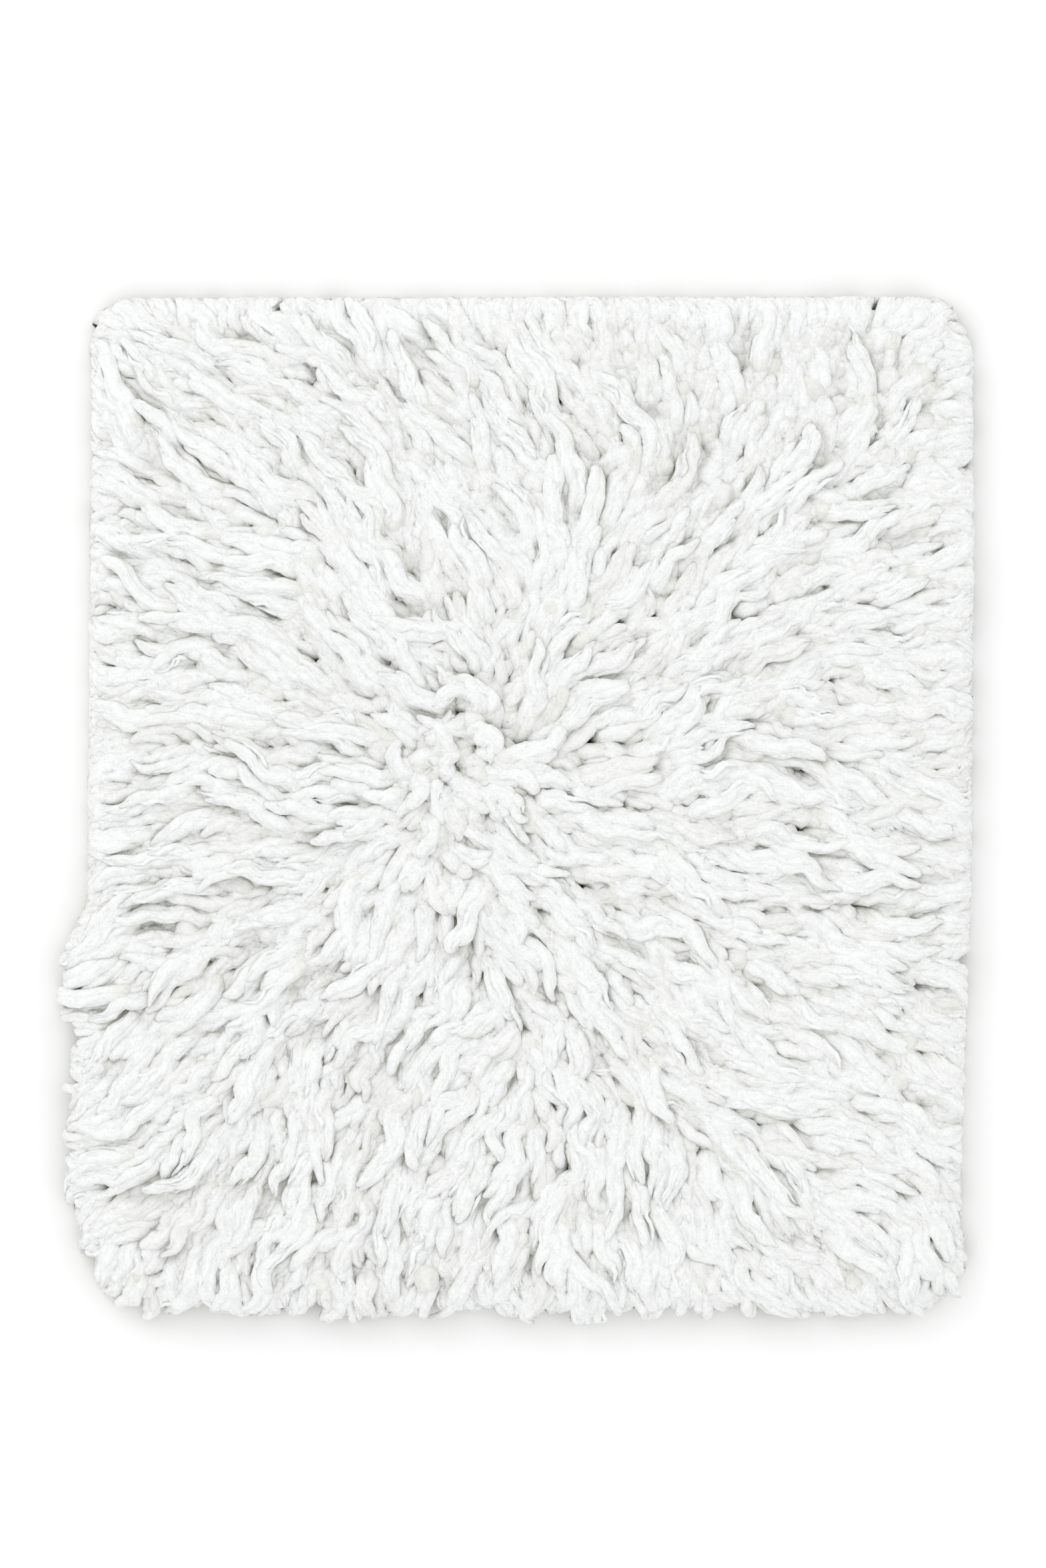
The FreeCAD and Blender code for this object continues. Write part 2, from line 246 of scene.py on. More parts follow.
def hold_inside(line, radius, ragged):
    """Bends what reaches past the outline down towards the floor, and rounds the shoulder."""
    x, y, z = line[..., 0], line[..., 1], line[..., 2]
    inside, inward = edge_distance(x, y)
    scallop = smooth(-0.24, -0.33, y) + smooth(-0.26, -0.295, x) * smooth(-0.06, -0.10, y)
    margin = radius + ragged * 3.5 * MM * np.clip(scallop, 0, 1) + 0.5 * MM
    reach = margin - inside
    over = 0.5 * (reach + np.hypot(reach, SOFT_SPAN)) - 0.2 * MM
    shoulder = 0.72 + 0.28 * smooth(0, 26 * MM, inside)
    x = x + inward[..., 0] * over
    y = y + inward[..., 1] * over
    z = CLOTH_TOP + (z - CLOTH_TOP) * shoulder - 1.1 * over
    return np.stack([x, y, np.maximum(z, radius + 0.3 * MM)], -1)


def frames(path):
    """Side and lift directions across each point of many paths."""
    ahead = np.gradient(path, axis=1)
    ahead /= np.linalg.norm(ahead, axis=-1, keepdims=True) + 1e-9
    up = np.zeros_like(ahead)
    up[..., 2] = 1
    side = np.cross(ahead, up)
    side /= np.linalg.norm(side, axis=-1, keepdims=True) + 1e-6
    return side, np.cross(side, ahead)


def at_places(values, place):
    """Values given at FINE even steps, read for each path at its own places from 0 to 1."""
    place = place * (FINE - 1)
    low = np.minimum(place.astype(int), FINE - 2)
    part = (place - low)[..., None]
    rows = np.arange(len(values))[:, None]
    return values[rows, low] * (1 - part) + values[rows, low + 1] * part


def tube(line, radius, sides, flat, grooves=0):
    """Flattened, grooved tubes round many lines, as (count, rings, sides, 3)."""
    side, lift = frames(line)
    theta = np.arange(sides) * 2 * math.pi / sides
    swell = radius[:, :, None] * (1 + grooves)
    across = (np.cos(theta) * swell)[..., None] * side[:, :, None, :]
    above = (np.sin(theta) * swell * flat)[..., None] * lift[:, :, None, :]
    return line[:, :, None, :] + across + above


def strand_tubes(path, kind, width, ragged, stand):
    """The felted strands of each lock, side by side and slowly turning about one another."""
    ply, sides, s = kind["strands"], kind["sides"], kind["rings"]
    locks = len(path)
    start = np.repeat(RNG.uniform(0, 2 * math.pi, (locks, 1)), ply, 0)
    turn = np.repeat(RNG.normal(0, 0.8, (locks, 1)), ply, 0)
    path, width, ragged, stand = (np.repeat(v, ply, 0) for v in (path, width, ragged, stand))
    count = len(path)
    order = np.tile(np.arange(ply), locks)[:, None]
    place = s * np.where(order == 0, 1.0, RNG.uniform(0.62, 1.0, (count, 1)))
    middle, side, lift = (at_places(v, place) for v in (path, *frames(path)))
    phase = start + 2 * math.pi * order / ply + turn * place
    apart = kind["apart"] * width * smooth(0, 0.30, place) * (1 - 0.35 * smooth(0.75, 1, place))
    middle = middle + (apart * np.cos(phase))[..., None] * side
    middle = middle + (apart * 0.55 * np.sin(phase))[..., None] * lift
    body = 0.72 + 0.28 * smooth(0, 0.45, s)
    full = RNG.uniform(0.62, 0.88, (count, 1)) + 0.05 * stand
    taper = np.clip(1 - smooth(full, 1.045, s), 0, 1) ** 0.48
    lumps = np.ones((count, len(s)))
    for height, slow, fast in ((0.10, 7, 15), (0.09, 20, 34)):
        beat = RNG.uniform(slow, fast, (count, 1))
        lumps += height * np.sin(beat * s + RNG.uniform(0, 6, (count, 1)))
    radius = np.maximum(width * kind["share"] * body * taper * lumps, THINNEST)
    radius[:, -1] *= TIP_PINCH
    line = hold_inside(middle, radius, ragged)
    theta = np.arange(sides) * 2 * math.pi / sides
    plies = np.zeros((count, len(s), sides))
    for waves, depth in ((2, 0.06), (4, 0.05)):
        wander = RNG.uniform(0, 6.28, (count, 1, 1))
        wander = wander + RNG.normal(0, 1.5, (count, 1, 1)) * s[:, None]
        plies += depth * np.cos(waves * theta + wander)
    plies += RNG.normal(0, 0.06, plies.shape)
    return tube(line, radius, sides, kind["flat"], plies)


def sliver_tubes(path, kind, width, ragged):
    """Thin slivers of fibre, half sunk in the top of each lock, that part from it at the tip."""
    s = SLIVER_RINGS
    path, width = np.repeat(path, kind["slivers"], 0), np.repeat(width, kind["slivers"], 0)
    ragged = np.repeat(ragged, kind["slivers"], 0)
    count = len(path)
    begin = RNG.uniform(0.25, 0.60, (count, 1))
    end = begin + RNG.uniform(0.22, 0.42, (count, 1))
    end = np.minimum(end, RNG.uniform(0.86, 1.0, (count, 1)))
    place = np.minimum(begin + (end - begin) * s, 1.0)
    middle, side, lift = (at_places(v, place) for v in (path, *frames(path)))
    angle = RNG.uniform(-0.1, math.pi + 0.1, (count, 1))
    angle = angle + RNG.normal(0, 0.8, (count, 1)) * place + 0.25 * np.sin(9 * s + 3 * begin)
    body = (0.70 + 0.30 * smooth(0, 0.45, place)) * np.sqrt(1 - smooth(0.70, 1.2, place))
    far = width * 0.5 * body * (RNG.normal(0.82, 0.06, (count, 1)) + 0.15 * smooth(0.80, 1, place))
    offset = np.cos(angle)[..., None] * side + np.sin(angle)[..., None] * lift * 0.75
    ends = np.sqrt(np.clip(np.minimum(smooth(-0.04, 0.25, s), 1 - smooth(0.6, 1.02, s)), 0, 1))
    radius = np.maximum(RNG.uniform(1.2, 2.4, (count, 1)) * MM * ends, SLIVER_TIP)
    line = hold_inside(middle + offset * far[..., None], radius + SLIVER_SINK, ragged)
    return tube(line, radius, SLIVER_SIDES, 0.65)


def tube_faces(count, rings, sides, first):
    """Quads of the walls and a cap at each end, as vertex indices from first."""
    ring = np.arange(sides)
    nxt = (ring + 1) % sides
    low = (np.arange(rings - 1) * sides)[:, None]
    quads = np.stack([low + ring, low + nxt, low + sides + nxt, low + sides + ring], -1)
    base = (first + np.arange(count) * rings * sides)[:, None]
    walls = quads.reshape(1, -1) + base
    foot = ring[::-1][None] + base
    tip = ring[None] + (rings - 1) * sides + base
    return walls.reshape(-1), np.concatenate([foot, tip]).reshape(-1)


def tube_uv(count, s, sides, girth, length):
    """Each wall unrolled at true size in centimetres, shifted from tube to tube."""
    ring = np.arange(sides)
    level = np.arange(len(s) - 1)[:, None] + 0 * ring
    u = np.stack([ring, ring + 1, ring + 1, ring], -1)[None].repeat(len(s) - 1, 0) / sides
    v = s[np.stack([level, level, level + 1, level + 1], -1)]
    wall = np.stack([u * girth * 100, v * length * 100], -1).reshape(1, -1, 2)
    return (wall + RNG.uniform(0, 90, (count, 1, 2))).reshape(-1, 2)


def fill_mesh(name, sets):
    """One mesh of several sets of tubes, with unrolled UVs and the values its colour needs."""
    first, vertices, corners, sizes, uvs, alongs, tone_and_depth_shades, flanks = 0, [], [], [], [], [], [], []
    for points, s, girth, length, tone_and_depth_shade in sets:
        count, rings, sides = points.shape[:3]
        walls, caps = tube_faces(count, rings, sides, first)
        vertices.append(points.reshape(-1, 3))
        corners += [walls, caps]
        sizes += [np.full(len(walls) // 4, 4), np.full(2 * count, sides)]
        uvs += [tube_uv(count, s, sides, girth, length), np.zeros((len(caps), 2))]
        alongs.append(np.tile(np.repeat(s, sides), count))
        tone_and_depth_shades.append(np.repeat(tone_and_depth_shade, rings * sides))
        # flank: the sine of the angle round each strand, -1 underneath and +1 on top, which the
        # wool colour turns into painted shade under the strands; slivers get 1 all round and so no
        # painted shade.
        flank = np.sin(np.arange(sides) * 2 * math.pi / sides)
        if sides == SLIVER_SIDES:
            flank = np.ones(sides)
        flanks.append(np.tile(flank, count * rings))
        first += count * rings * sides
    mesh = bpy.data.meshes.new(name)
    mesh.vertices.add(first)
    mesh.vertices.foreach_set("co", np.concatenate(vertices).reshape(-1).astype(np.float32))
    corners, sizes = np.concatenate(corners), np.concatenate(sizes)
    mesh.loops.add(len(corners))
    mesh.loops.foreach_set("vertex_index", corners.astype(np.int32))
    mesh.polygons.add(len(sizes))
    starts = np.concatenate([[0], np.cumsum(sizes)[:-1]])
    mesh.polygons.foreach_set("loop_start", starts.astype(np.int32))
    mesh.polygons.foreach_set("loop_total", sizes.astype(np.int32))
    mesh.polygons.foreach_set("use_smooth", np.ones(len(sizes), bool))
    mesh.update(calc_edges=True)
    for label, values in (("along", alongs), ("tone_and_depth_shade", tone_and_depth_shades), ("flank", flanks)):
        layer = mesh.attributes.new(label, "FLOAT", "POINT")
        layer.data.foreach_set("value", np.concatenate(values).astype(np.float32))
    uv = np.concatenate(uvs).astype(np.float32)
    mesh.uv_layers.new(name="Strand").data.foreach_set("uv", uv.reshape(-1))
    return mesh


# ---------------------------------------------------------------- materials
def new_material(name):
    """An empty Principled material and its node tree."""
    material = bpy.data.materials.new(name)
    material.use_nodes = True
    return material, material.node_tree, material.node_tree.nodes["Principled BSDF"]


def node(tree, kind, **settings):
    """A new node, with its properties or, where it has none of that name, its inputs set."""
    made = tree.nodes.new(kind)
    for key, value in settings.items():
        if hasattr(made, key):
            setattr(made, key, value)
        else:
            made.inputs[key.replace("_", " ").title()].default_value = value
    return made


def ramp(tree, source, stops):
    """A colour ramp from a value, with (position, colour) stops."""
    made = tree.nodes.new("ShaderNodeValToRGB")
    line = made.color_ramp
    while len(line.elements) < len(stops):
        line.elements.new(0.5)
    for element, (place, colour) in zip(line.elements, stops):
        element.position = place
        element.color = (*colour, 1)
    tree.links.new(source, made.inputs["Fac"])
    return made.outputs["Color"]


def noise(tree, vector, scale, detail, stretch):
    """Noise over a vector stretched by the given scales, as a value."""
    mapping = node(tree, "ShaderNodeMapping")
    mapping.inputs["Scale"].default_value = stretch
    tree.links.new(vector, mapping.inputs["Vector"])
    made = node(tree, "ShaderNodeTexNoise")
    made.inputs["Scale"].default_value = scale
    made.inputs["Detail"].default_value = detail
    tree.links.new(mapping.outputs["Vector"], made.inputs["Vector"])
    return made.outputs["Fac"]


def multiply(tree, first, second, amount=1.0):
    """Two colours multiplied."""
    mix = node(tree, "ShaderNodeMix", data_type="RGBA", blend_type="MULTIPLY")
    mix.inputs["Factor"].default_value = amount
    tree.links.new(first, mix.inputs["A"])
    tree.links.new(second, mix.inputs["B"])
    return mix.outputs["Result"]


def wool_material():
    """White felted wool, with painted shade: olive-grey towards the roots deep in the pile and
    under each strand's flanks, deeper kinds of lock set darker, and darker grooves in the ridge
    and fibre streaks. Each lock's tone also strays at random.
    """
    material, tree, shader = new_material("wool_felt")
    along = node(tree, "ShaderNodeAttribute", attribute_name="along").outputs["Fac"]
    tone_and_depth_shade = node(tree, "ShaderNodeAttribute", attribute_name="tone_and_depth_shade").outputs["Fac"]
    flank = node(tree, "ShaderNodeAttribute", attribute_name="flank").outputs["Fac"]
    uv = node(tree, "ShaderNodeUVMap", uv_map="Strand").outputs["UV"]
    # Painted shade: the colour turns olive-grey towards each strand's root, deep in the pile where
    # shade falls.
    depth = ramp(tree, along, [(0.12, (0.66, 0.65, 0.55)), (0.28, (0.83, 0.827, 0.79)),
                               (0.43, (0.885, 0.894, 0.896))])
    # Painted shade: each strand's colour darkens to olive-grey on its lower flanks and underside,
    # and stays white on top.
    shaded = node(tree, "ShaderNodeMapRange", From_Min=-1.0, From_Max=1.0)
    tree.links.new(flank, shaded.inputs["Value"])
    side = ramp(tree, shaded.outputs["Result"], [(0.32, (0.49, 0.475, 0.375)),
                                                 (0.53, (0.80, 0.793, 0.73)), (0.65, (1, 1, 1))])
    # Per lock: a random tone, and painted shade in the darker values given to the deeper kinds.
    per_lock = ramp(tree, tone_and_depth_shade, [(0.0, (0.92, 0.914, 0.882)), (0.26, (0.976, 0.974, 0.962)),
                                 (0.50, (0.993, 0.993, 0.991)), (1.0, (1.0, 1.0, 1.0))])
    # Painted shade in the grooves: the ridge and fibre noises that make the bumps also darken the
    # colour where the bump sinks.
    ridges = noise(tree, uv, 2.8, 3, (1, 0.45, 1))
    fibres = noise(tree, uv, 8, 5, (1, 0.7, 1))
    ridge_painted_shade = ramp(tree, ridges, [(0.34, (0.925, 0.925, 0.917)), (0.54, (1, 1, 1))])
    fibre_painted_shade = ramp(tree, fibres, [(0.32, (0.915, 0.915, 0.905)), (0.56, (1, 1, 1))])
    body = multiply(tree, multiply(tree, depth, side), per_lock)
    colour = multiply(tree, body, multiply(tree, ridge_painted_shade, fibre_painted_shade))
    tree.links.new(colour, shader.inputs["Base Color"])
    coarse = node(tree, "ShaderNodeBump")
    coarse.inputs["Strength"].default_value = 0.8
    coarse.inputs["Distance"].default_value = 0.0022
    tree.links.new(ridges, coarse.inputs["Height"])
    fine = node(tree, "ShaderNodeBump")
    fine.inputs["Strength"].default_value = 0.7
    fine.inputs["Distance"].default_value = 0.0007
    tree.links.new(fibres, fine.inputs["Height"])
    tree.links.new(coarse.outputs["Normal"], fine.inputs["Normal"])
    tree.links.new(fine.outputs["Normal"], shader.inputs["Normal"])
    shader.inputs["Roughness"].default_value = 0.95
    shader.inputs["Specular IOR Level"].default_value = 0.15
    shader.inputs["Sheen Weight"].default_value = 0.15
    shader.inputs["Sheen Roughness"].default_value = 0.5
    return material


# The kinds of lock. knee: where along it the lock bends over. level: height of its middle line.
# pitch: from root to root. apart, share: how far its strands are from its middle line, and their
# radius, as shares of its width. outward: how strongly the mat's edge turns it. fuller: how much
# it is raised where the pile is full. cross: how far it strays at the parting.
# tone_and_depth_shade: 0 is darkest; the kinds that lie deeper are set darker, as painted shade,
# and each lock strays from it at random in tone. rise: how much higher its tip is than its root
# end. packs: 1 if it is shorter in packed wool.
LONG = {"length": 82 * MM, "knee": 0.27, "level": 29.5 * MM, "width": 12.5 * MM,
        "pitch": 110 * MM, "sides": 9, "rings": ROPE_RINGS, "strands": 3, "apart": 0.215,
        "share": 0.35, "flat": 0.85, "slivers": 3, "outward": 0.25, "fuller": 0, "cross": 0.8,
        "tone_and_depth_shade": 0.72, "rise": 7 * MM, "packs": 1}
TOP = {"length": 66 * MM, "knee": 0.32, "level": 28.5 * MM, "width": 12.5 * MM,
       "pitch": 27 * MM, "sides": 9, "rings": ROPE_RINGS, "strands": 3, "apart": 0.215,
       "share": 0.35, "flat": 0.85, "slivers": 2, "outward": 0.25, "fuller": 0, "cross": 0.7,
       "tone_and_depth_shade": 0.68, "rise": 8 * MM, "packs": 1}
UNDER = {"length": 54 * MM, "knee": 0.38, "level": 24.6 * MM, "width": 12.5 * MM,
         "pitch": 15 * MM, "sides": 7, "rings": UNDER_RINGS, "strands": 2, "apart": 0.20,
         "share": 0.37, "flat": 0.85, "slivers": 0, "outward": 0.25, "fuller": 3 * MM,
         "cross": 1.0, "tone_and_depth_shade": 0.42, "rise": 5 * MM, "packs": 1}
FILL = {"length": 32 * MM, "knee": 0.62, "level": 20.5 * MM, "width": 15.5 * MM,
        "pitch": 8.5 * MM, "sides": 7, "rings": UNDER_RINGS, "strands": 1, "apart": 0,
        "share": 0.50, "flat": 0.75, "slivers": 0, "outward": 0.25, "fuller": 5 * MM,
        "cross": 1.6, "tone_and_depth_shade": 0.12, "rise": 0, "packs": 1}
RIM = {"length": 58 * MM, "knee": 0.40, "level": 23 * MM, "width": 11.5 * MM,
       "pitch": 7 * MM, "sides": 8, "rings": UNDER_RINGS, "strands": 2, "apart": 0.24,
       "share": 0.36, "flat": 0.85, "slivers": 1, "outward": 4.0, "fuller": 0, "cross": 0.3,
       "tone_and_depth_shade": 0.60, "rise": 0, "packs": 0}
LAYERS = ((UNDER, -SUB_ROW), (TOP, 0), (LONG, 0), (FILL, 0), (FILL, 2 * SUB_ROW),
          (UNDER, SUB_ROW), (RIM, 0))
RIM_INSETS = (3 * MM, 9 * MM)
WIDTH_SPREAD, TINT_SPREAD = 1.3 * MM, 0.17


def rim_roots(row):
    """Roots packed closely along the edge of the cloth, of the part of it that this row covers."""
    roots = []
    for inset in RIM_INSETS:
        half_x, half_y = CLOTH_HALF[0] - inset, CLOTH_HALF[1] - inset
        corner = CLOTH_CORNER - inset
        arc = math.pi / 2 * corner
        sides = (2 * (half_x - corner), 2 * (half_y - corner))
        total = 2 * sum(sides) + 4 * arc
        count = int(total / RIM["pitch"])
        place = (np.arange(count) + (0.5 if inset == RIM_INSETS[1] else 0)) * total / count
        for quarter in range(4):
            run = sides[quarter % 2]
            along = place[(place >= 0) & (place < run + arc)]
            place = place - run - arc
            turn = np.clip(along - run, 0, arc) / corner
            ax = np.minimum(along, run) - run / 2 + corner * np.sin(turn)
            ay = -(half_y if quarter % 2 == 0 else half_x) + corner * (1 - np.cos(turn))
            c, d = ((1, 0), (0, 1), (-1, 0), (0, -1))[quarter]
            roots.append(np.stack([ax * c - ay * d, ax * d + ay * c], -1))
    roots = np.concatenate(roots)
    lines = np.clip(np.floor(roots[:, 1] / ROW_PITCH + ROW_COUNT / 2), 0, ROW_COUNT - 1)
    mine = roots[lines == row]
    return mine[:, 0], mine[:, 1]


def row_locks(row):
    """The tube sets of one row: its long locks, top locks, under-wool, fill and rim locks."""
    sets = []
    for kind, shift in LAYERS:
        x, y = rim_roots(row) if kind is RIM else row_roots(row, shift, kind["pitch"])
        if kind is FILL:
            extra = np.maximum(2.5 * standing(x, y) - 0.2, packed(x, y))
            needed = RNG.uniform(0, 1, len(x)) < (1.0 if shift == 0 else extra)
            x, y = x[needed], y[needed]
        count = len(x)
        path, stand = lock_paths(x, y, kind)
        width = RNG.normal(kind["width"], WIDTH_SPREAD, (count, 1))
        ragged = RAGGED(path[:, -1, 0], path[:, -1, 1])[:, None] + RNG.normal(0, 0.5, (count, 1))
        # Each lock's tone strays at random round its kind's value; the deeper kinds' darker values
        # are painted shade.
        tone_and_depth_shade = np.clip(RNG.normal(kind["tone_and_depth_shade"], TINT_SPREAD, count), 0, 1)
        fullness = 1 + 0.18 * stand + 0.12 * packed(x, y)[:, None]
        strands = strand_tubes(path, kind, width * fullness, ragged, stand)
        girth = 2 * math.pi * kind["share"] * kind["width"]
        sets.append((strands, kind["rings"], girth, kind["length"],
                     np.repeat(tone_and_depth_shade, kind["strands"])))
        if kind["slivers"]:
            slivers = sliver_tubes(path, kind, width, ragged)
            sets.append((slivers, 0.4 + 0.6 * SLIVER_RINGS, 5 * MM, 25 * MM,
                         np.repeat(tone_and_depth_shade, kind["slivers"])))
    return sets


def build_pile():
    """One piece of wool for each row of the CAD's pile."""
    wool = wool_material()
    for row in range(ROW_COUNT):
        name = f"wool_locks_{row + 1:02d}"
        mesh = fill_mesh(name, row_locks(row))
        mesh.materials.append(wool)
        piece = bpy.data.objects.new(name, mesh)
        bpy.context.collection.objects.link(piece)
        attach(piece, "root")
        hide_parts(f"pile_row_{row + 1:02d}")


# ---------------------------------------------------------------- cloth, tape, stitches and latex
CLOTH_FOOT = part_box("base_cloth")[0][2]
GRIP_HALF = tuple(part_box("anti_slip_backing")[1][:2])
GRIP_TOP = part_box("anti_slip_backing")[1][2]
TAPE_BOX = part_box("binding_tape")
LABEL_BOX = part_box("care_label")
RIB_PITCH, RIB_HALF, RIB_DEPTH = 30 * MM, 2.5 * MM, 1.3 * MM
HEM_WIDTH, HEM_PRESS = 13 * MM, 1.2 * MM
TAPE_COVER, TAPE_THICK, TAPE_WIDTH = 12 * MM, 0.6 * MM, 0.0275
SEAM_INSET, STITCH, THREAD = 8.4 * MM, 3.6 * MM, 0.32 * MM
BUCKLE = Waves(0.05)


def add_piece(name, mesh, material, cad_node):
    """Links a mesh as a piece of the mat that stands for a CAD node."""
    mesh.materials.append(material)
    piece = bpy.data.objects.new(name, mesh)
    bpy.context.collection.objects.link(piece)
    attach(piece, "root")
    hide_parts(cad_node)
    return piece


def quad_mesh(name, points, quads, uv=None, crease=35):
    """A smooth-shaded mesh of quads, sharp where it turns by more than the crease angle."""
    mesh = bpy.data.meshes.new(name)
    mesh.from_pydata(points.reshape(-1, 3).tolist(), [], quads.reshape(-1, 4).tolist())
    mesh.polygons.foreach_set("use_smooth", np.ones(len(mesh.polygons), bool))
    mesh.set_sharp_from_angle(angle=math.radians(crease))
    if uv is not None:
        layer = mesh.uv_layers.new(name="Strand")
        layer.data.foreach_set("uv", uv.reshape(-1).astype(np.float32))
    return mesh


def slab_mesh(name, xs, ys, half, corner, top, foot):
    """A closed layer over a rounded rectangle, with its upper and lower heights as functions."""
    x, y = np.meshgrid(xs, ys)
    u = np.maximum(np.abs(x) - (half[0] - corner), 0) / corner
    v = np.maximum(np.abs(y) - (half[1] - corner), 0) / corner
    bow_x, bow_y = corner * u * np.sqrt(1 - v * v / 2), corner * v * np.sqrt(1 - u * u / 2)
    x = np.sign(x) * (np.minimum(np.abs(x), half[0] - corner) + bow_x)
    y = np.sign(y) * (np.minimum(np.abs(y), half[1] - corner) + bow_y)
    points = np.concatenate([np.stack([x, y, z(x, y)], -1).reshape(-1, 3) for z in (top, foot)])
    index = np.arange(x.size).reshape(x.shape)
    quads = np.stack([index[:-1, :-1], index[:-1, 1:], index[1:, 1:], index[1:, :-1]], -1)
    quads = quads.reshape(-1, 4)
    ring = np.concatenate([index[0, :-1], index[:-1, -1], index[-1, :0:-1], index[:0:-1, 0]])
    after = np.roll(ring, -1)
    walls = np.stack([ring + x.size, after + x.size, after, ring], -1)
    return quad_mesh(name, points, np.concatenate([quads, quads[:, ::-1] + x.size, walls]))


def inside_round(x, y, half, corner):
    """How far inside a rounded rectangle each point is."""
    dx, dy = np.abs(x) - (half[0] - corner), np.abs(y) - (half[1] - corner)
    past = np.hypot(np.maximum(dx, 0), np.maximum(dy, 0))
    return corner - past - np.minimum(np.maximum(dx, dy), 0)


def round_track(inset, pitch):
    """Evenly spaced points round the cloth at an inset from its edge, their outward directions
    and how far along each is."""
    half_x, half_y, corner = CLOTH_HALF[0] - inset, CLOTH_HALF[1] - inset, CLOTH_CORNER - inset
    runs = [2 * (half_x - corner), 2 * (half_y - corner)] * 2
    arc = math.pi / 2 * corner
    total = sum(runs) + 4 * arc
    count = int(round(total / pitch))
    along = np.arange(count) * total / count
    spots, outward, begin = np.zeros((count, 2)), np.zeros((count, 2)), 0
    for quarter, run in enumerate(runs):
        here = (along >= begin) & (along < begin + run + arc)
        way = along[here] - begin
        turn = np.clip(way - run, 0, arc) / corner + (quarter - 1) * math.pi / 2
        outward[here] = np.stack([np.cos(turn), np.sin(turn)], -1)
        middle = np.array([(1, -1), (1, 1), (-1, 1), (-1, -1)][quarter])
        middle = middle * (half_x - corner, half_y - corner)
        heading = np.array([(1, 0), (0, 1), (-1, 0), (0, -1)][quarter])
        back = (np.minimum(way, run) - run)[:, None] * heading
        spots[here] = middle + back + corner * outward[here]
        begin += run + arc
    return spots, outward, along


def weave_material(name, colour, dark, scales, roughness, depth, uv_map=None, twill=0.0):
    """Woven cloth: two sets of crossing threads, turned for a twill, with slubs, and painted shade
    where the threads sink between one another.
    """
    material, tree, shader = new_material(name)
    if uv_map:
        where = node(tree, "ShaderNodeUVMap", uv_map=uv_map).outputs["UV"]
    else:
        where = node(tree, "ShaderNodeTexCoord").outputs["Object"]
    turned = node(tree, "ShaderNodeMapping")
    turned.inputs["Rotation"].default_value = (0, 0, twill)
    tree.links.new(where, turned.inputs["Vector"])
    bands = []
    for direction, scale in zip("XY", scales):
        wave = node(tree, "ShaderNodeTexWave", bands_direction=direction)
        wave.inputs["Scale"].default_value = scale
        wave.inputs["Distortion"].default_value = 0.6
        wave.inputs["Detail"].default_value = 1
        wave.inputs["Detail Scale"].default_value = 0.3
        tree.links.new(turned.outputs["Vector"], wave.inputs["Vector"])
        bands.append(wave.outputs["Color"])
    threads = multiply(tree, *bands, 0.75)
    slubs = noise(tree, where, scales[0] * 0.12, 3, (1, 1, 1))
    # Painted shade: the colour goes to the dark value where the thread bump is low, between the
    # threads.
    painted_weave_shade = ramp(tree, threads, [(0.0, dark), (0.55, colour)])
    mottle = ramp(tree, slubs, [(0.3, (0.93, 0.93, 0.915)), (0.65, (1, 1, 1))])
    tree.links.new(multiply(tree, painted_weave_shade, mottle), shader.inputs["Base Color"])
    rough = node(tree, "ShaderNodeMapRange", To_Min=roughness - 0.08, To_Max=roughness + 0.06)
    tree.links.new(slubs, rough.inputs["Value"])
    tree.links.new(rough.outputs["Result"], shader.inputs["Roughness"])
    bump = node(tree, "ShaderNodeBump")
    bump.inputs["Strength"].default_value = 0.9
    bump.inputs["Distance"].default_value = depth
    tree.links.new(threads, bump.inputs["Height"])
    tree.links.new(bump.outputs["Normal"], shader.inputs["Normal"])
    shader.inputs["Specular IOR Level"].default_value = 0.25
    shader.inputs["Sheen Weight"].default_value = 0.1
    return material


def latex_material(name, light, dark, pebble, roughness):
    """Latex once it has set: cloudy, pebbled, with pin holes where bubbles broke, painted darker
    inside as shade.
    """
    material, tree, shader = new_material(name)
    where = node(tree, "ShaderNodeTexCoord").outputs["Object"]
    clouds = noise(tree, where, 28, 4, (1, 1, 1))
    grains = noise(tree, where, 1 / pebble, 3, (1, 1, 1))
    holes = node(tree, "ShaderNodeTexVoronoi")
    holes.inputs["Scale"].default_value = 0.35 / pebble
    tree.links.new(where, holes.inputs["Vector"])
    cloudy = ramp(tree, clouds, [(0.32, dark), (0.66, light)])
    # Painted shade: the pin holes are darkened where the bump sinks into them.
    pits = ramp(tree, holes.outputs["Distance"], [(0.05, (0.72, 0.71, 0.68)), (0.16, (1, 1, 1))])
    tree.links.new(multiply(tree, cloudy, pits), shader.inputs["Base Color"])
    rough = node(tree, "ShaderNodeMapRange", To_Min=roughness - 0.1, To_Max=roughness + 0.12)
    tree.links.new(grains, rough.inputs["Value"])
    tree.links.new(rough.outputs["Result"], shader.inputs["Roughness"])
    bump = node(tree, "ShaderNodeBump")
    bump.inputs["Strength"].default_value = 0.7
    bump.inputs["Distance"].default_value = pebble * 0.3
    tree.links.new(grains, bump.inputs["Height"])
    pit = node(tree, "ShaderNodeBump")
    pit.inputs["Strength"].default_value = 0.6
    pit.inputs["Distance"].default_value = pebble * 0.5
    tree.links.new(pits, pit.inputs["Height"])
    tree.links.new(bump.outputs["Normal"], pit.inputs["Normal"])
    tree.links.new(pit.outputs["Normal"], shader.inputs["Normal"])
    shader.inputs["Specular IOR Level"].default_value = 0.4
    return material


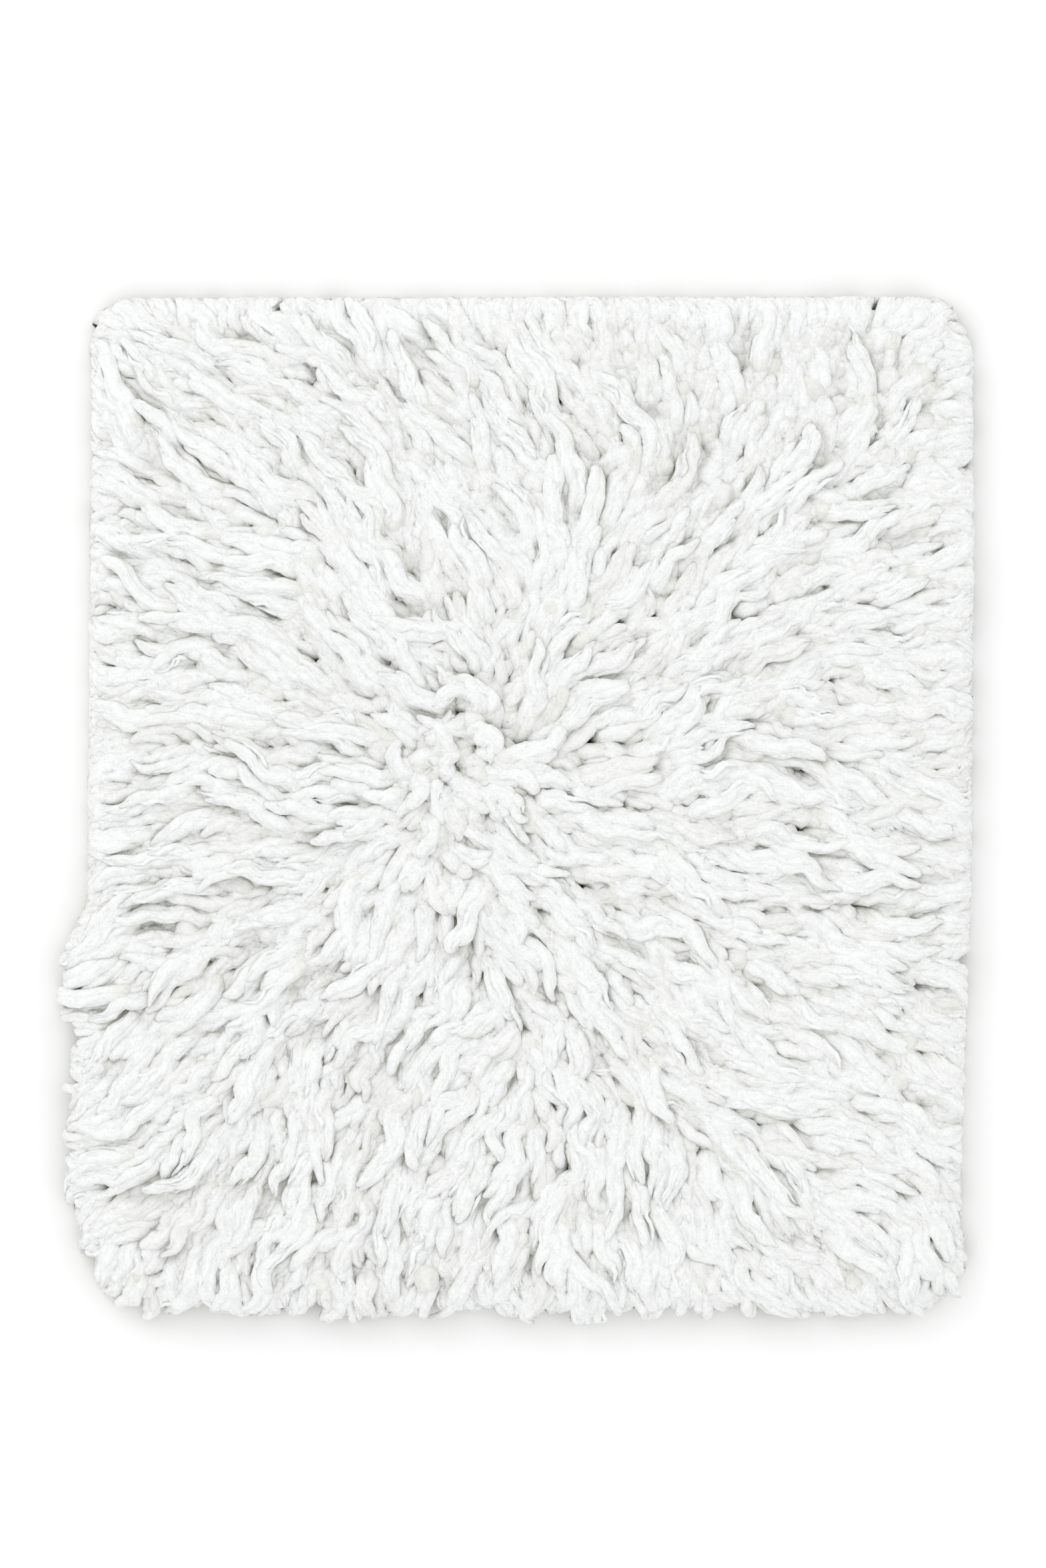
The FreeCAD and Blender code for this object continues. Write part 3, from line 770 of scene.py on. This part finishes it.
def thread_material():
    """White sewing thread: two plies that show as slanting lines along each stitch, the grooves
    between them painted darker as shade.
    """
    material, tree, shader = new_material("sewing_thread")
    uv = node(tree, "ShaderNodeUVMap", uv_map="Strand").outputs["UV"]
    mapping = node(tree, "ShaderNodeMapping")
    mapping.inputs["Rotation"].default_value = (0, 0, 0.9)
    tree.links.new(uv, mapping.inputs["Vector"])
    wave = node(tree, "ShaderNodeTexWave")
    wave.inputs["Scale"].default_value = 6.5
    wave.inputs["Distortion"].default_value = 0.8
    tree.links.new(mapping.outputs["Vector"], wave.inputs["Vector"])
    # Painted shade: darker in the grooves between the plies, where the bump sinks.
    plies = ramp(tree, wave.outputs["Color"], [(0.1, (0.66, 0.65, 0.62)),
                                               (0.6, (0.90, 0.90, 0.88))])
    tree.links.new(plies, shader.inputs["Base Color"])
    bump = node(tree, "ShaderNodeBump")
    bump.inputs["Distance"].default_value = 0.00012
    tree.links.new(wave.outputs["Color"], bump.inputs["Height"])
    tree.links.new(bump.outputs["Normal"], shader.inputs["Normal"])
    shader.inputs["Roughness"].default_value = 0.5
    return material


def build_ground_cloth():
    """The woven ground that the tufts go through, pressed thinner under the tape."""
    xs = np.linspace(-CLOTH_HALF[0], CLOTH_HALF[0], 113)
    ys = np.linspace(-CLOTH_HALF[1], CLOTH_HALF[1], 127)

    def top(x, y):
        inside = inside_round(x, y, CLOTH_HALF, CLOTH_CORNER)
        press = smooth(HEM_WIDTH + 3 * MM, HEM_WIDTH - 1 * MM, inside)
        return CLOTH_TOP - 0.12 * MM - HEM_PRESS * press + 0.12 * MM * BUCKLE(x, y) * (1 - press)

    mesh = slab_mesh("ground_cloth", xs, ys, CLOTH_HALF, CLOTH_CORNER, top,
                     lambda x, y: CLOTH_FOOT + 0 * x)
    canvas = weave_material("ground_canvas", (0.88, 0.87, 0.83), (0.68, 0.66, 0.60), (210, 230),
                            0.88, 0.0004)
    cloth = add_piece("ground_cloth", mesh, canvas, "base_cloth")


def build_latex():
    """The thin coat that locks the tufts, and the ribbed backing moulded onto it."""
    xs = np.linspace(-CLOTH_HALF[0], CLOTH_HALF[0], 61)
    ys = np.linspace(-CLOTH_HALF[1], CLOTH_HALF[1], 69)
    coat = slab_mesh("latex_coat", xs, ys, CLOTH_HALF, CLOTH_CORNER,
                     lambda x, y: CLOTH_FOOT + 0 * x, lambda x, y: GRIP_TOP + 0 * x)
    cream = latex_material("coat_latex", (0.83, 0.81, 0.75), (0.74, 0.71, 0.64), 1.4 * MM, 0.6)
    add_piece("latex_coat", coat, cream, "latex_precoat")

    steps = np.array([-2.5, -2.15, -1.8, 1.8, 2.15, 2.5, 15]) * MM
    lines = []
    for half in GRIP_HALF:
        ribs = np.arange(-11, 12)[:, None] * RIB_PITCH + steps
        rim = half - np.array([0, 0.35, 0.7, 4.3, 4.65, 5.0, 5.9]) * MM
        ribs = ribs[np.abs(ribs) < half - 6.5 * MM]
        lines.append(np.sort(np.concatenate([ribs, rim, -rim])))
    corner = CLOTH_CORNER - (CLOTH_HALF[0] - GRIP_HALF[0])

    def foot(x, y):
        rise = np.zeros_like(x)
        for value in (x, y):
            off = np.abs(value - RIB_PITCH * np.round(value / RIB_PITCH))
            rise = np.maximum(rise, smooth(RIB_HALF, RIB_HALF - 0.7 * MM, off))
        inside = inside_round(x, y, GRIP_HALF, corner)
        rise = np.maximum(rise, smooth(5.0 * MM, 4.3 * MM, inside))
        rise = rise * (0.45 + 0.55 * smooth(-0.2 * MM, 0.7 * MM, inside))
        return RIB_DEPTH * (1 - rise) + 0.07 * MM * (1 - rise) * BUCKLE(3 * x, 3 * y)

    grip = slab_mesh("grip_backing", *lines, GRIP_HALF, corner,
                     lambda x, y: GRIP_TOP + 0 * x, foot)
    rubber = latex_material("grip_latex", (0.80, 0.79, 0.76), (0.71, 0.70, 0.67), 0.9 * MM, 0.55)
    add_piece("grip_backing", grip, rubber, "anti_slip_backing")


def build_binding():
    """The twill tape folded round the edge, drawn in a little at every stitch."""
    spots, outward, along = round_track(0, STITCH / 3)
    low, high = TAPE_BOX[0][2], TAPE_BOX[1][2]
    out = TAPE_BOX[1][0] - CLOTH_HALF[0]
    inner, bend = TAPE_COVER - 0.1 * MM, 0.9 * MM
    skin = [(-TAPE_COVER, high - 0.15 * MM), (-TAPE_COVER + 0.15 * MM, high), (-9.6 * MM, high),
            (-8.4 * MM, high), (-7.2 * MM, high), (-4 * MM, high), (out - bend, high),
            (out - 0.3 * bend, high - 0.25 * bend), (out, high - bend), (out, low + bend),
            (out - 0.3 * bend, low + 0.25 * bend), (out - bend, low), (-4 * MM, low),
            (-7.2 * MM, low), (-8.4 * MM, low), (-9.6 * MM, low), (-TAPE_COVER + 0.15 * MM, low),
            (-TAPE_COVER, low + 0.15 * MM), (-inner, low + TAPE_THICK),
            (out - TAPE_THICK, low + TAPE_THICK), (out - TAPE_THICK, high - TAPE_THICK),
            (-inner, high - TAPE_THICK)]
    offset, level = np.array(skin).T
    cycle = 0.5 - 0.5 * np.cos(2 * math.pi * along / along[1] / 3)
    near_seam = np.exp(-((offset + SEAM_INSET) / (1.6 * MM)) ** 2)
    outside = np.arange(len(skin)) < len(skin) - 4
    dimple = 0.16 * MM * (1 - cycle)[:, None] * near_seam * outside
    z = level - np.sign(level - (low + high) / 2) * dimple
    wander = 0.25 * MM * BUCKLE(spots[:, 0], spots[:, 1])[:, None] * (offset < -0.011)
    spread = offset - wander
    points = np.concatenate([spots[:, None] + outward[:, None] * spread[..., None],
                             z[..., None]], -1)
    count, ring = z.shape
    index = np.arange(count * ring).reshape(count, ring)
    ahead, after = np.roll(index, -1, 0), np.roll(index, -1, 1)
    quads = np.stack([index, after, np.roll(ahead, -1, 1), ahead], -1)
    width = np.concatenate([[0], np.cumsum(np.hypot(np.diff(offset), np.diff(level)))])
    far = np.concatenate([width, [width[-1] + 2 * MM]]) * 100
    run = np.concatenate([along, [along[-1] + along[1]]]) * 100
    u = np.stack([run[:-1], run[:-1], run[1:], run[1:]], -1)[:, None].repeat(ring, 1)
    v = np.stack([far[:-1], far[1:], far[1:], far[:-1]], -1)[None].repeat(count, 0)
    mesh = quad_mesh("edge_binding", points, quads, np.stack([u, v], -1), 60)
    twill = weave_material("tape_twill", (0.88, 0.88, 0.86), (0.68, 0.67, 0.64), (3.4, 4.6), 0.82,
                           0.00025, "Strand", 0.7)
    tape = add_piece("edge_binding", mesh, twill, "binding_tape")


def lay_stitches(name, spots, heading, level, up, node_name):
    """Stitches of a seam: short humps of thread that dive into the cloth at both ends."""
    count, s = len(spots), np.linspace(0, 1, 7)
    slant = 0.06 + RNG.normal(0, 0.03, (count, 1))
    way = (s - 0.5) * STITCH * 0.96
    side = np.stack([-heading[:, 1], heading[:, 0]], -1)
    line = np.zeros((count, len(s), 3))
    line[..., :2] = spots[:, None] + heading[:, None] * way[..., None]
    line[..., :2] += side[:, None] * (slant * way)[..., None]
    line[..., 2] = level + up * (0.12 * MM - 0.42 * MM * np.abs(2 * s - 1) ** 4)
    radius = np.full((count, len(s)), THREAD) * (1 - 0.25 * np.abs(2 * s - 1) ** 3)
    tubes = tube(line, radius, 7, 0.85)
    sets = [(tubes, s, 2 * math.pi * THREAD, STITCH, np.full(count, 0.5))]
    return add_piece(name, fill_mesh(name, sets), THREAD_LOOK, node_name)


def build_seams():
    """The seam's threads above and below the tape, and the thread that holds the label."""
    spots, outward, along = round_track(SEAM_INSET, STITCH)
    heading = np.stack([-outward[:, 1], outward[:, 0]], -1)
    lay_stitches("needle_stitches", spots, heading, TAPE_BOX[1][2], 1, "needle_thread")
    lay_stitches("bobbin_stitches", spots, heading, TAPE_BOX[0][2], -1, "bobbin_thread")
    low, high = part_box("label_thread")
    y = np.arange(low[1] + STITCH / 2, high[1] - STITCH / 2, STITCH)
    spots = np.stack([0 * y + (low[0] + high[0]) / 2, y], -1)
    heading = np.tile([0.0, 1.0], (len(y), 1))
    lay_stitches("label_stitches", spots, heading, LABEL_BOX[0][2], -1, "label_thread")


def build_label():
    """A blank satin ribbon folded in two, caught under the tape and sagging a little."""
    low, high = LABEL_BOX
    fold = (high[2] - low[2]) / 2 - 0.1 * MM
    reach = high[0] - low[0] - fold - 0.1 * MM
    flat_run = np.linspace(0, reach, 12)
    turn = np.linspace(-math.pi / 2, math.pi / 2, 9)[1:-1]
    x = np.concatenate([flat_run, reach + fold * np.cos(turn), flat_run[::-1]])
    z = np.concatenate([0 * flat_run - fold, fold * np.sin(turn), 0 * flat_run + fold])
    across = np.linspace(low[1] + 0.2 * MM, high[1] - 0.2 * MM, 25)
    far = np.concatenate([[0], np.cumsum(np.hypot(np.diff(x), np.diff(z)))])
    gx, gy = np.meshgrid(x, across)
    free = smooth(0.3, 1.0, gx / reach)
    gz = z + (low[2] + high[2]) / 2 - 0.55 * MM * free
    gz = gz + 0.14 * MM * free * np.sin(gy * 260 + gx * 120)
    points = np.stack([gx + low[0], gy, gz], -1)
    index = np.arange(gx.size).reshape(gx.shape)
    quads = np.stack([index[:-1, :-1], index[:-1, 1:], index[1:, 1:], index[1:, :-1]], -1)
    u, v = np.meshgrid(far * 100, across * 100)
    uv = np.stack([u, v], -1)
    uv = np.stack([uv[:-1, :-1], uv[:-1, 1:], uv[1:, 1:], uv[1:, :-1]], -2)
    mesh = quad_mesh("folded_label", points, quads, uv, 180)
    satin = weave_material("label_satin", (0.88, 0.88, 0.87), (0.76, 0.76, 0.74), (5.5, 1.6), 0.45,
                           0.00006, "Strand")
    label = add_piece("folded_label", mesh, satin, "care_label")
    thick = label.modifiers.new("thick", "SOLIDIFY")
    thick.thickness = 0.14 * MM
    thick.offset = 0


THREAD_LOOK = thread_material()


# ---------------------------------------------------------------- studio
FLOOR_HALF, FLOOR_DROP, FLOOR_WHITE = 4.0, 0.4 * MM, 0.92
SKY_STRENGTH = 1.10
KEY_PLACE, KEY_SIZE, KEY_POWER = (-1.4, 1.9, 2.2), 1.4, 11
EYE_PLACE, LENS, SENSOR = (0, 0.0136, 2.40), 83, 36
LIGHT_BOUNCES = 10          # enough for light to get down between white locks


def add_floor():
    """The pale floor, a hair below the mat so that the two don't share a plane."""
    mesh = bpy.data.meshes.new("floor")
    half = FLOOR_HALF
    mesh.from_pydata([(-half, -half, 0), (half, -half, 0), (half, half, 0), (-half, half, 0)], [],
                     [(0, 1, 2, 3)])
    floor = bpy.data.objects.new("floor", mesh)
    floor.location.z = -FLOOR_DROP
    bpy.context.collection.objects.link(floor)
    material, _, shader = new_material("floor_white")
    shader.inputs["Base Color"].default_value = (FLOOR_WHITE, FLOOR_WHITE, FLOOR_WHITE, 1)
    shader.inputs["Roughness"].default_value = 0.9
    shader.inputs["Specular IOR Level"].default_value = 0.1
    mesh.materials.append(material)


def add_area(name, place, size, power):
    """A square soft light aimed at the mat's middle."""
    light = bpy.data.lights.new(name, "AREA")
    light.shape = "SQUARE"
    light.size = size
    light.energy = power
    lamp = bpy.data.objects.new(name, light)
    lamp.location = place
    aim = -lamp.location
    lamp.rotation_euler = aim.to_track_quat("-Z", "Y").to_euler()
    bpy.context.collection.objects.link(lamp)


def build_studio():
    """Floor, dome light, key light, and the camera straight above as in the photo."""
    add_floor()
    world = bpy.data.worlds.new("studio")
    world.use_nodes = True
    sky = world.node_tree.nodes["Background"]
    sky.inputs["Color"].default_value = (1, 1, 1, 1)
    sky.inputs["Strength"].default_value = SKY_STRENGTH
    bpy.context.scene.world = world
    add_area("key", KEY_PLACE, KEY_SIZE, KEY_POWER)
    bpy.context.scene.view_settings.view_transform = "Standard"
    bpy.context.scene.cycles.diffuse_bounces = LIGHT_BOUNCES
    camera = bpy.data.cameras.new("camera")
    camera.lens = LENS
    camera.sensor_width = SENSOR
    camera.clip_end = 50
    eye = bpy.data.objects.new("camera", camera)
    eye.location = EYE_PLACE
    bpy.context.collection.objects.link(eye)
    bpy.context.scene.camera = eye


build_pile()
build_latex()
build_ground_cloth()
build_binding()
build_seams()
build_label()
build_studio()
